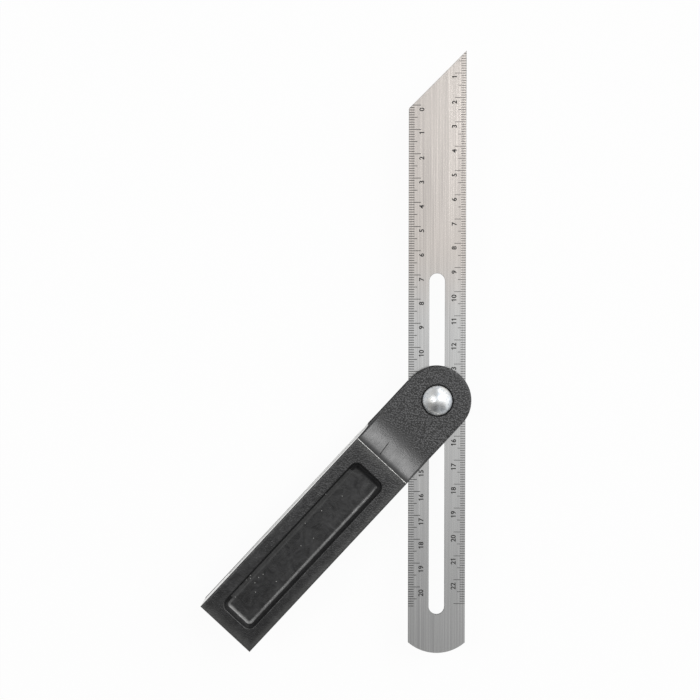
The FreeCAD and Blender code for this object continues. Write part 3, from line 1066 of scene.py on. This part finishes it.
@dataclass
class Blade:
    """The flat slotted blade with its 45 degree tip, round tail and broken edges."""

    tip_angle: float = 45.0
    tail_radius: float = 18.0
    slot_width: float = 6.5
    tip_to_slot: float = 91.6
    slot_to_tail: float = 16.2
    edge_break: float = 0.1

    def build(self) -> None:
        """Build the blade from its outline and its slot."""
        low, high = (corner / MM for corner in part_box("blade"))
        half = high.x
        shoulder = high.y - 2 * half * math.tan(math.radians(self.tip_angle))
        outline: Outline = [(half, high.y), (-half, shoulder)]
        outline += self.arc((0, low.y + self.tail_radius), self.tail_radius, self.tail_turn(half), 40)
        slot_half = self.slot_width / 2
        slot_top = high.y - self.tip_to_slot - slot_half
        slot_bottom = low.y + self.slot_to_tail + slot_half
        slot = self.arc((0, slot_bottom), slot_half, (0.0, -math.pi), 28)
        slot += self.arc((0, slot_top), slot_half, (math.pi, 0.0), 28)
        shape = bmesh.new()
        caps: dict[float, list[bmesh.types.BMEdge]] = {}
        for loop in (outline, slot):
            self.add_walls(shape, loop, high.z, caps)
        for edges in caps.values():
            bmesh.ops.triangle_fill(shape, edges=edges, use_beauty=True)
        piece = new_piece("slotted_blade", written(shape, "slotted_blade", 20.0))
        for finish in (BLADE_STEEL, BLADE_EDGE):
            piece.data.materials.append(finish.material())
        for polygon in piece.data.polygons:
            polygon.material_index = int(abs(polygon.normal.z) < 0.99)
        place_piece(piece, (), Body.BLADE, Slot.BLADE_STEEL, "blade")

    def tail_turn(self, half: float) -> tuple[float, float]:
        """Return the start and end angles of the tail's arc, from the left edge to the right."""
        lean = math.acos(half / self.tail_radius)
        return -math.pi + lean, -lean

    @staticmethod
    def arc(centre: tuple[float, float], radius: float, turn: tuple[float, float], steps: int) -> Outline:
        """Return points on an arc, both ends included.

        Args:
            centre: The arc's centre.
            radius: Its radius.
            turn: Its first and last angle in radians.
            steps: The number of straight steps.

        Returns:
            The points in order.
        """
        angles = [turn[0] + (turn[1] - turn[0]) * k / steps for k in range(steps + 1)]
        return [(centre[0] + radius * math.cos(a), centre[1] + radius * math.sin(a)) for a in angles]

    def add_walls(self, shape: bmesh.types.BMesh, loop: Outline, top: float,
                  caps: dict[float, list[bmesh.types.BMEdge]]) -> None:
        """Add one outline's wall with its broken edges.

        Args:
            shape: The blade so far.
            loop: The outline, with the steel on its left as it is followed.
            top: Half the blade's thickness.
            caps: Collects the rim edges of each flat face by height.
        """
        inner = self.inset(loop)
        rings = []
        for points, height in ((inner, top), (loop, top - self.edge_break), (loop, self.edge_break - top),
                               (inner, -top)):
            rings.append([shape.verts.new((x * MM, y * MM, height * MM)) for x, y in points])
        skin(shape, rings)
        for ring, height in ((rings[0], top), (rings[-1], -top)):
            edges = [shape.edges.get(pair) for pair in zip(ring, ring[1:] + ring[:1])]
            caps.setdefault(height, []).extend(edges)

    def inset(self, loop: Outline) -> Outline:
        """Move an outline into the steel by the broken edge's width, with mitred corners.

        Args:
            loop: The outline, with the steel on its left as it is followed.

        Returns:
            The moved outline.
        """
        moved: Outline = []
        for i, point in enumerate(loop):
            here = Vector(point)
            before = (here - Vector(loop[i - 1])).normalized()
            after = (Vector(loop[(i + 1) % len(loop)]) - here).normalized()
            left_before, left_after = Vector((-before.y, before.x)), Vector((-after.y, after.x))
            middle = (left_before + left_after).normalized()
            moved.append(tuple(here + middle * self.edge_break / middle.dot(left_before)))
        return moved


@dataclass
class EtchedScale:
    """A centimetre scale along one edge of the blade, with its ticks and numerals."""

    side: ScaleSide
    zero_to_tip: float
    ticks: range
    numbers: range
    baseline_inset: float
    tick_width: float
    millimetre_tick: float
    numeral_gap: float
    pitch: float = 1.0
    tick_height: float = 0.012
    extra_at_five: float = 1.2
    extra_at_ten: float = 1.45
    edge_gap: float = 0.04
    numeral_height: float = 2.1
    numeral_stretch: float = 1.06
    stroke_growth: float = 0.026
    flag: tuple[float, float, float] = (0.17, 0.15, 0.12)

    def build(self) -> None:
        """Build the ticks and the numerals."""
        name = f"{self.side.name.lower()}_scale"
        low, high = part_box("blade")
        ticks = grown(f"{name}_ticks", self.tick_tree(), bpy.data.meshes.new(f"{name}_ticks"), {
            "Count": len(self.ticks),
            "First Number": self.ticks.start,
            "Pitch": self.pitch * MM,
            "Tip Y": high.y,
            "Edge X": high.x * self.side.value,
            "Inward": -float(self.side.value),
            "Zero To Tip": self.zero_to_tip * MM,
            "Blade Width": high.x - low.x,
            "Edge Gap": self.edge_gap * MM,
            "Tick Width": self.tick_width * MM,
            "Tick Height": self.tick_height * MM,
            "Millimetre Tick": self.millimetre_tick * MM,
            "Extra At Five": self.extra_at_five * MM,
            "Extra At Ten": self.extra_at_ten * MM,
            "Surface Z": high.z,
            "Finish": ETCHED_MARK.material(),
        })
        place_piece(ticks, (), Body.BLADE, Slot.BLADE_STEEL)
        numerals = new_piece(f"{name}_numerals", self.numeral_mesh(f"{name}_numerals", high))
        place_piece(numerals, (ETCHED_MARK,), Body.BLADE, Slot.BLADE_STEEL)

    @staticmethod
    def tick_tree() -> bpy.types.NodeTree:
        """Return the tree that rules a scale; a tick stops where the 45 degree cut takes the steel away."""
        known = bpy.data.node_groups.get("Ruled scale")
        if known:
            return known
        sizes = ("Pitch", "Tip Y", "Edge X", "Inward", "Zero To Tip", "Blade Width", "Edge Gap", "Tick Width",
                 "Tick Height", "Millimetre Tick", "Extra At Five", "Extra At Ten", "Surface Z")
        inputs = {"Count": "Int", "First Number": "Int"}
        inputs |= dict.fromkeys(sizes, "Float") | {"Finish": "Material"}
        tree = new_geometry_tree("Ruled scale", inputs, "Ticks")
        add = partial(add_node, tree)
        given = add("NodeGroupInput").outputs
        row = add("GeometryNodeMeshLine", named={"Count": given["Count"], "Offset": (0, 0, 0)}, mode="OFFSET")
        number = add(MATH, add("GeometryNodeInputIndex"), given["First Number"], operation="ADD")
        length = given["Millimetre Tick"]
        for every, extra in ((5.0, "Extra At Five"), (10.0, "Extra At Ten")):
            left_over = add(MATH, number, every, operation="MODULO")
            longer = add(MATH, left_over, 0.0, 0.5, operation="COMPARE")
            length = add(MATH, longer, given[extra], length, operation="MULTIPLY_ADD")

        to_tip = add(MATH, number, given["Pitch"], given["Zero To Tip"], operation="MULTIPLY_ADD")
        room = add(MATH, to_tip, given["Edge Gap"], operation="SUBTRACT")
        missing = add(MATH, given["Blade Width"], to_tip, operation="SUBTRACT")
        missing = add(MATH, missing, given["Edge Gap"], operation="ADD")
        on_left = add(MATH, given["Inward"], 0.0, operation="GREATER_THAN")
        missing = add(MATH, missing, on_left, operation="MULTIPLY")
        near = add(MATH, missing, given["Edge Gap"], operation="MAXIMUM")
        room = add(MATH, on_left, 1.0, room, operation="MULTIPLY_ADD")
        far = add(MATH, length, room, operation="MINIMUM")
        middle = add(MATH, add(MATH, near, far, operation="ADD"), 0.5, operation="MULTIPLY")
        x = add(MATH, middle, given["Inward"], given["Edge X"], operation="MULTIPLY_ADD")
        y = add(MATH, given["Tip Y"], to_tip, operation="SUBTRACT")
        place = add(COMBINE_XYZ, x, y, given["Surface Z"])
        placed = add("GeometryNodeSetPosition", named={"Geometry": row, "Position": place})
        reach = add(MATH, far, near, operation="SUBTRACT")
        thickness = add(MATH, given["Tick Height"], 2.0, operation="MULTIPLY")
        size = add(COMBINE_XYZ, reach, given["Tick Width"], thickness)
        tick = add("GeometryNodeMeshCube", named={"Size": (1.0, 1.0, 1.0)})
        end_tree(add, placed, tick, given["Finish"], Scale=size)
        return tree

    def numeral(self, text: str) -> bpy.types.Mesh:
        """Build one number flat on XY, on its baseline, in the font's own units, with a flag on every 1.

        Args:
            text: The number's digits.

        Returns:
            The number's mesh.
        """
        mesh = self.plain_numeral(text)
        if "1" not in text:
            return mesh
        stems = {0: self.plain_numeral("1"), len(text) - 1: mesh}
        shape = bmesh.new()
        shape.from_mesh(mesh)
        for k in (k for k, digit in enumerate(text) if digit == "1"):
            corners = [vertex.co for vertex in stems[k].vertices]
            self.add_flag(shape, max(co.x for co in corners), max(co.y for co in corners))
        shape.to_mesh(mesh)
        shape.free()
        return mesh

    def plain_numeral(self, text: str) -> bpy.types.Mesh:
        """Build one number as the font has it.

        Args:
            text: The number's digits.

        Returns:
            The number's mesh.
        """
        curve = bpy.data.curves.new(text, "FONT")
        curve.body = text
        curve.resolution_u = 4
        curve.extrude = 1.0
        curve.offset = self.stroke_growth
        holder = settle(new_piece(f"number {text}", curve))
        mesh = holder.data
        bpy.data.objects.remove(holder)
        return mesh

    def add_flag(self, shape: bmesh.types.BMesh, right: float, top: float) -> None:
        """Add the slanted stroke at the top of one 1.

        Args:
            shape: The number so far.
            right: The right side of the 1's stem.
            top: The stem's top.
        """
        reach, drop, stroke = self.flag
        outline = [(right, top), (right - stroke, top), (right - stroke - reach, top - drop),
                   (right - stroke - reach, top - drop - stroke), (right - stroke, top - stroke)]
        rings = [[shape.verts.new((x, y, z)) for x, y in outline] for z in (-1.0, 1.0)]
        for ring in rings:
            shape.faces.new(ring)
        skin(shape, rings)

    def numeral_mesh(self, name: str, high: Vector) -> bpy.types.Mesh:
        """Set every number below its tick, read from the blade's right side.

        Args:
            name: The new mesh's name.
            high: The blade's highest corner.

        Returns:
            The numbers as one mesh in place.
        """
        zero = self.numeral("0")
        heights = [vertex.co.y for vertex in zero.vertices]
        size = self.numeral_height * MM / (max(heights) - min(heights))
        baseline = self.side.value * (high.x - self.baseline_inset * MM)
        shape = bmesh.new()
        for number in self.numbers:
            mesh = self.numeral(str(number))
            end = max(vertex.co.x for vertex in mesh.vertices)
            y = high.y - (self.zero_to_tip + 10 * number * self.pitch + self.numeral_gap) * MM
            place = Matrix.Translation((baseline, y, high.z)) @ Matrix.Rotation(math.pi / 2, 4, "Z")
            scale = Matrix.Diagonal((size * self.numeral_stretch, size, self.tick_height * MM, 1.0))
            mesh.transform(place @ scale @ Matrix.Translation((-end, 0, 0)))
            shape.from_mesh(mesh)
        bmesh.ops.remove_doubles(shape, verts=shape.verts, dist=0.001 * MM)
        return written(shape, name)


# The clamp


@dataclass
class PivotBolt:
    """The domed bolt with its square neck and threaded end."""

    head_diameter: float = 12.4
    rim: float = 0.4
    neck_width: float = 6.0
    neck_length: float = 4.1
    head_seat: float = 6.1
    diameter: float = 6.0
    thread_pitch: float = 1.0
    thread_depth: float = 0.55
    thread_start: float = -5.5
    end_chamfer: float = 0.6

    def build(self) -> None:
        """Turn the bolt and set the neck into it."""
        low, high = (corner.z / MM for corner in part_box("pivot_bolt"))
        radius, shank = self.head_diameter / 2, self.diameter / 2
        cap = high - self.head_seat - self.rim
        dome = (radius ** 2 + cap ** 2) / (2 * cap)
        limb = math.asin(radius / dome)
        profile: Outline = [(dome * math.sin(limb * k / 28), high - dome + dome * math.cos(limb * k / 28))
                            for k in range(28)]
        rim_top = self.head_seat + self.rim
        profile += [(radius - 0.06, rim_top + 0.05), (radius, rim_top - 0.03),
                    (radius, self.head_seat + 0.08), (radius - 0.08, self.head_seat),
                    (shank, self.head_seat), (shank, self.thread_start)]
        bottom = low + self.end_chamfer
        steps = round((self.thread_start - bottom) / self.thread_pitch * 10)
        profile += [(shank, self.thread_start + (bottom - self.thread_start) * k / steps)
                    for k in range(1, steps + 1)]
        profile += [(shank - self.end_chamfer, low), (0, low)]
        cut = thread_cut(self.thread_pitch, self.thread_depth, low - 1.0, self.thread_start)
        mesh = turned("pivot_bolt_with_thread", profile, False, 96, cut)
        shape = bmesh.new()
        shape.from_mesh(mesh)
        half = self.neck_width / 2
        neck = bmesh.ops.create_cube(shape, size=MM)["verts"]
        place = Matrix.Translation((0, 0, (self.head_seat - self.neck_length / 2 + 0.05) * MM))
        scale = Matrix.Diagonal((2 * half, 2 * half, self.neck_length + 0.1, 1.0))
        bmesh.ops.transform(shape, matrix=STOCK_TO_FRAME @ place @ scale, verts=neck)
        piece = new_piece("pivot_bolt_with_thread", written(shape, "pivot_bolt_with_thread", 40.0))
        place_piece(piece, (BRIGHT_ZINC,), Body.STOCK, Slot.ZINC_PLATE, "pivot_bolt")


@dataclass
class TurnedWasher:
    """A flat round washer with stamped, rounded edges."""

    node: str
    body: Body
    slot: Slot
    finish: Finish
    bore: float
    edge_round: float

    def build(self) -> None:
        """Turn the washer between its CAD faces."""
        low, high = (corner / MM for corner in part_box(self.node))
        corners = [(self.bore / 2, low.z), (high.x, low.z), (high.x, high.z), (self.bore / 2, high.z)]
        name = f"{self.node}_turned"
        piece = new_piece(name, turned(name, round_corners(corners, self.edge_round), True))
        place_piece(piece, (self.finish,), self.body, self.slot, self.node)


@dataclass
class SpringWasher:
    """The split washer, coiled from square wire and pressed flat by the nut."""

    bore: float = 6.4
    split: float = 1.2
    split_lean: float = 25.0
    edge_round: float = 0.25
    steps: int = 120

    def build(self) -> None:
        """Sweep the wire's section from one side of the leaning split to the other."""
        low, high = (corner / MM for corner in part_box("spring_washer"))
        outer = max(-low.x, high.y)
        corners = [(self.bore / 2, low.z), (outer, low.z), (outer, high.z), (self.bore / 2, high.z)]
        section = round_corners(corners, self.edge_round)
        middle = (low.z + high.z) / 2
        lean = math.tan(math.radians(self.split_lean))
        half_split = self.split / 2 / math.cos(math.radians(self.split_lean))
        shape = bmesh.new()
        rings = []
        for k in range(self.steps + 1):
            ring = []
            for radius, height in section:
                gap = math.asin(half_split / radius)
                angle = gap + (FULL_TURN - 2 * gap) * k / self.steps - (height - middle) * lean / radius
                ring.append(shape.verts.new(
                    (radius * math.cos(angle) * MM, radius * math.sin(angle) * MM, height * MM)))
            rings.append(ring)
        skin(shape, rings)
        shape.faces.new(rings[0])
        shape.faces.new(rings[-1])
        piece = new_piece("spring_washer_coiled", written(shape, "spring_washer_coiled"))
        place_piece(piece, (BRIGHT_ZINC,), Body.NUT_WASHERS, Slot.ZINC_PLATE, "spring_washer")


@dataclass
class WingNut:
    """The wing nut as it is cast, with its wings flowing into the hub."""

    cell: float = 0.22
    smoothing: int = 7

    def build(self) -> None:
        """Melt the CAD nut's edges together as a casting's are."""
        piece = new_piece("wing_nut_cast", merged_copy("wing_nut"))
        remesh = piece.modifiers.new("even mesh", "REMESH")
        remesh.mode = "VOXEL"
        remesh.voxel_size = self.cell * MM
        soften = piece.modifiers.new("cast edges", "SMOOTH")
        soften.factor = 0.5
        soften.iterations = self.smoothing
        settle(piece)
        smooth_shade(piece.data, 60.0)
        piece.data.materials.clear()
        place_piece(piece, (BRIGHT_ZINC,), Body.WING_NUT, Slot.ZINC_PLATE, "wing_nut")


# The studio


@dataclass
class Softbox:
    """One soft lamp, aimed at a point of the object."""

    name: str
    position: tuple[float, float, float]
    size: tuple[float, float]
    radiance: float
    target: tuple[float, float, float] = (-30.0, 0.0, 0.0)

    def build(self) -> None:
        """Hang the lamp; its energy follows from its radiance and its size."""
        lamp = bpy.data.lights.new(self.name, "AREA")
        lamp.shape = "RECTANGLE"
        lamp.size, lamp.size_y = (side * MM for side in self.size)
        lamp.energy = self.radiance * math.pi * lamp.size * lamp.size_y
        holder = bpy.data.objects.new(self.name, lamp)
        bpy.context.scene.collection.objects.link(holder)
        position, target = Vector(self.position) * MM, Vector(self.target) * MM
        holder.location = position
        holder.rotation_euler = (target - position).to_track_quat("-Z", "Y").to_euler()


@dataclass
class Studio:
    """A white table under soft lamps, and the camera that the photograph was taken with."""

    camera_position: tuple[float, float, float] = (-24.72, 40.68, 600.0)
    camera_turn: tuple[float, float, float] = (-1.92, 1.09, 0.04)
    lens: float = 74.29
    sensor: float = 36.0
    table_side: float = 6000.0
    table_glow: float = 0.94
    sky_share: float = 0.6
    ceiling_steps: tuple[tuple[float, float, float], ...] = (
        (-0.95, -0.3, 0.11), (-0.3, -0.03, 0.48), (-0.02, 0.04, 0.09), (0.05, 0.1, -0.05), (0.11, 0.14, 0.16),
        (0.18, 0.28, -0.25))
    rightward_steps: tuple[tuple[float, float, float], ...] = (
        (-0.5, -0.2, -0.25), (-0.12, 0.16, 0.36), (0.08, 0.18, 0.25), (0.22, 0.34, -0.42))
    window_way: tuple[float, float, float] = (0.9, 0.4, 0.0)
    window_step: tuple[float, float, float] = (0.3, 0.55, 1.1)
    darkest: float = 0.33
    horizon: tuple[float, float] = (0.06, 0.32)
    horizon_glow: float = 1.1
    softboxes: tuple[Softbox, ...] = (
        Softbox("right softbox", (310.0, 210.0, 800.0), (260.0, 320.0), 6.2),
        Softbox("left softbox", (-360.0, 85.0, 830.0), (300.0, 300.0), 4.6),
    )

    def build(self) -> None:
        """Set up the table, the world, the lamps and the camera."""
        self.build_table()
        self.build_world()
        for softbox in self.softboxes:
            softbox.build()
        self.build_camera()
        bpy.context.scene.view_settings.view_transform = "Standard"

    def build_table(self) -> None:
        """Lay the white table under the lowest point of the object."""
        half = self.table_side / 2 * MM
        mesh = bpy.data.meshes.new("table")
        height = CAD_BOX[0].z
        corners = [(x * half, y * half, height) for x, y in ((-1, -1), (1, -1), (1, 1), (-1, 1))]
        mesh.from_pydata(corners, [], [(0, 1, 2, 3)])
        material = bpy.data.materials.new("white table")
        material.use_nodes = True
        material.node_tree.nodes.clear()
        add = partial(add_node, material.node_tree)
        path = add("ShaderNodeLightPath").outputs
        seen = add(MATH, path["Is Camera Ray"], path["Is Glossy Ray"], operation="MAXIMUM")
        seen = add(MATH, seen, path["Is Transmission Ray"], operation="MAXIMUM")
        share = add(MATH, seen, self.table_glow, operation="MULTIPLY")
        paper = add("ShaderNodeBsdfDiffuse", linear("#f4f4f3"))
        glow = add("ShaderNodeEmission", linear("#ffffff"), 1.0)
        add("ShaderNodeOutputMaterial", add("ShaderNodeMixShader", share, paper, glow))
        mesh.materials.append(material)
        new_piece("table", mesh)

    def build_world(self) -> None:
        """Surround the object with white that greys towards the ceiling and towards the near side."""
        world = bpy.data.worlds.new("studio")
        world.use_nodes = True
        world.node_tree.nodes.clear()
        add = partial(add_node, world.node_tree)
        path = add("ShaderNodeLightPath").outputs
        seen = add(MATH, path["Is Camera Ray"], path["Is Transmission Ray"], operation="MAXIMUM")
        ray = add("ShaderNodeTexCoord").outputs["Generated"]
        way = add("ShaderNodeSeparateXYZ", ray).outputs
        right = add(VECTOR_MATH, ray, self.window_way, operation="DOT_PRODUCT")
        ramps = [(way["Y"], step) for step in self.ceiling_steps]
        ramps += [(way["X"], step) for step in self.rightward_steps]
        sky = self.darkest
        for towards, (low, high, rise) in ramps + [(right, self.window_step)]:
            step = add(MAP_RANGE, towards, low, high, 0.0, rise, interpolation_type="SMOOTHSTEP")
            sky = add(MATH, sky, step, operation="ADD")
        up = add(MAP_RANGE, way["Z"], *self.horizon, interpolation_type="SMOOTHSTEP")
        ceiling = add(MIX, up, self.horizon_glow, sky, data_type="FLOAT")
        share = add(MAP_RANGE, path["Is Glossy Ray"], 0.0, 1.0, self.sky_share, 1.0)
        lit = add(MATH, ceiling, share, operation="MULTIPLY")
        strength = add(MATH, lit, seen, operation="MAXIMUM")
        add("ShaderNodeOutputWorld", add("ShaderNodeBackground", linear("#ffffff"), strength))
        bpy.context.scene.world = world

    def build_camera(self) -> None:
        """Stand the camera where the photograph's perspective puts it."""
        lens = bpy.data.cameras.new("camera")
        lens.lens = self.lens
        lens.sensor_width = self.sensor
        lens.clip_start = 0.01
        camera = bpy.data.objects.new("camera", lens)
        bpy.context.scene.collection.objects.link(camera)
        camera.location = Vector(self.camera_position) * MM
        camera.rotation_euler = [math.radians(angle) for angle in self.camera_turn]
        bpy.context.scene.camera = camera


def build_square() -> None:
    """Build every piece of the adjustable square."""
    Casting("stock_front_half", FRONT_ENAMEL).build()
    Casting("stock_rear_half", REAR_ENAMEL).build()
    FootFittings().build()
    Blade().build()
    EtchedScale(ScaleSide.RIGHT, zero_to_tip=-0.8, ticks=range(1, 231), numbers=range(1, 23),
                baseline_inset=3.95, tick_width=0.21, millimetre_tick=2.1, numeral_gap=1.2).build()
    EtchedScale(ScaleSide.LEFT, zero_to_tip=22.3, ticks=range(209), numbers=range(21), baseline_inset=6.3,
                tick_width=0.27, millimetre_tick=2.35, numeral_gap=1.05).build()
    PivotBolt().build()
    nylon = (Body.FRICTION_WASHERS, Slot.NYLON, NYLON)
    for node in ("front_friction_washer", "rear_friction_washer"):
        TurnedWasher(node, *nylon, bore=6.1, edge_round=0.08).build()
    zinc = (Body.NUT_WASHERS, Slot.ZINC_PLATE, BRIGHT_ZINC)
    TurnedWasher("flat_washer", *zinc, bore=6.4, edge_round=0.25).build()
    SpringWasher().build()
    WingNut().build()


def main() -> None:
    """Build the studio and the square."""
    logging.basicConfig(level=logging.INFO, format="%(name)s: %(message)s")
    Studio().build()
    build_square()


if __name__ == "__main__":
    main()
